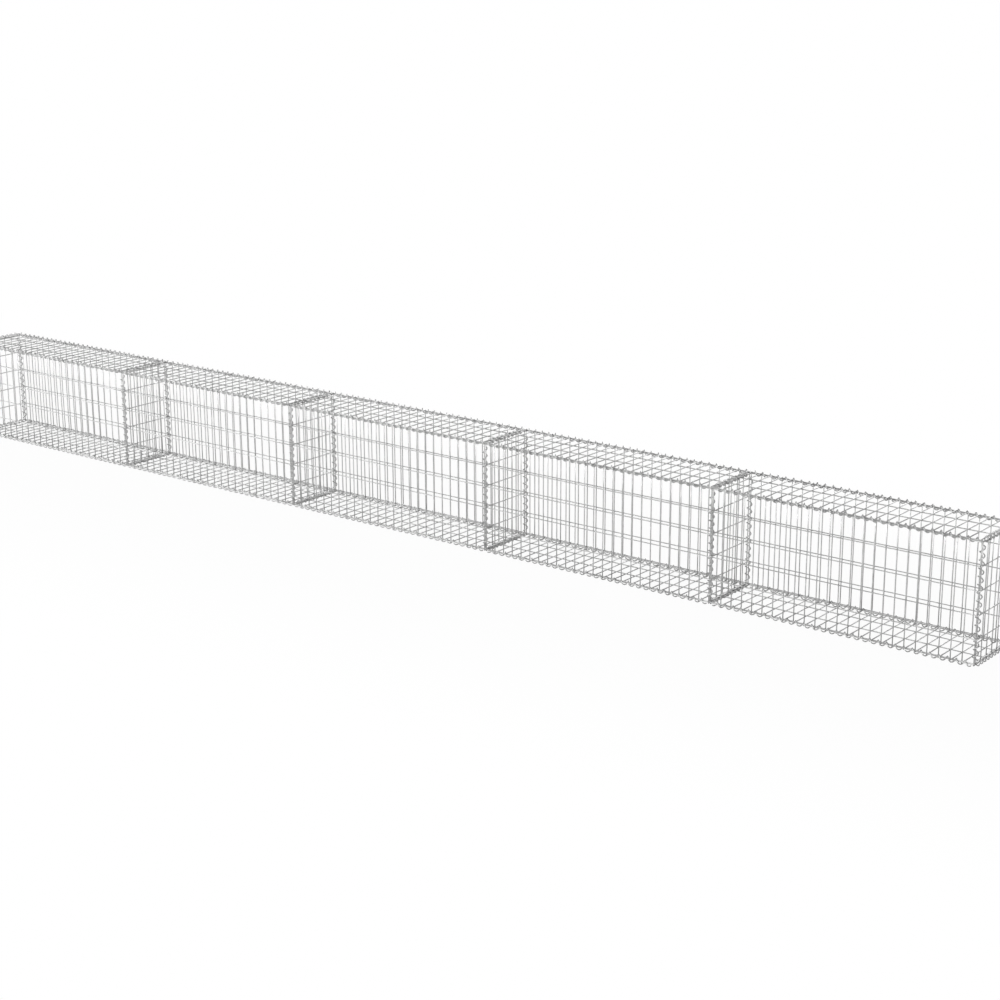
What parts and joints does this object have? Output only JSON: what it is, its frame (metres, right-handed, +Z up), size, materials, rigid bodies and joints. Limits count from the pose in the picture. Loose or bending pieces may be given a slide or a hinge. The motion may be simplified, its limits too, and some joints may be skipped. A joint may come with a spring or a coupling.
{
  "type": "empty welded mesh gabion wall",
  "caption": "Long low row of empty rectangular welded-wire gabion baskets with covers and shared cross panels, every edge laced with a wire spiral.",
  "frame": {"origin": "on the ground, at the middle of the wall's length and depth", "axes": "+X along the wall, -Y the front face, +Z up"},
  "size_m": [6.025, 0.325, 0.525],
  "materials": {
    "mesh_wire": "matt galvanised round wire",
    "spiral_wire": "satin galvanised round wire"
  },
  "bodies": {
    "root": {"bay_1_front_panel": "mesh_wire", "bay_1_back_panel": "mesh_wire", "bay_1_cover": "mesh_wire", "bay_1_base": "mesh_wire", "bay_1_edge_spirals": "spiral_wire", "bay_2_front_panel": "mesh_wire", "bay_2_back_panel": "mesh_wire", "bay_2_cover": "mesh_wire", "bay_2_base": "mesh_wire", "bay_2_edge_spirals": "spiral_wire", "bay_3_front_panel": "mesh_wire", "bay_3_back_panel": "mesh_wire", "bay_3_cover": "mesh_wire", "bay_3_base": "mesh_wire", "bay_3_edge_spirals": "spiral_wire", "bay_4_front_panel": "mesh_wire", "bay_4_back_panel": "mesh_wire", "bay_4_cover": "mesh_wire", "bay_4_base": "mesh_wire", "bay_4_edge_spirals": "spiral_wire", "bay_5_front_panel": "mesh_wire", "bay_5_back_panel": "mesh_wire", "bay_5_cover": "mesh_wire", "bay_5_base": "mesh_wire", "bay_5_edge_spirals": "spiral_wire", "left_end_panel": "mesh_wire", "left_end_spirals": "spiral_wire", "partition_1": "mesh_wire", "partition_1_spirals": "spiral_wire", "partition_2": "mesh_wire", "partition_2_spirals": "spiral_wire", "partition_3": "mesh_wire", "partition_3_spirals": "spiral_wire", "partition_4": "mesh_wire", "partition_4_spirals": "spiral_wire", "right_end_panel": "mesh_wire", "right_end_spirals": "spiral_wire"}
  },
  "joints": []
}
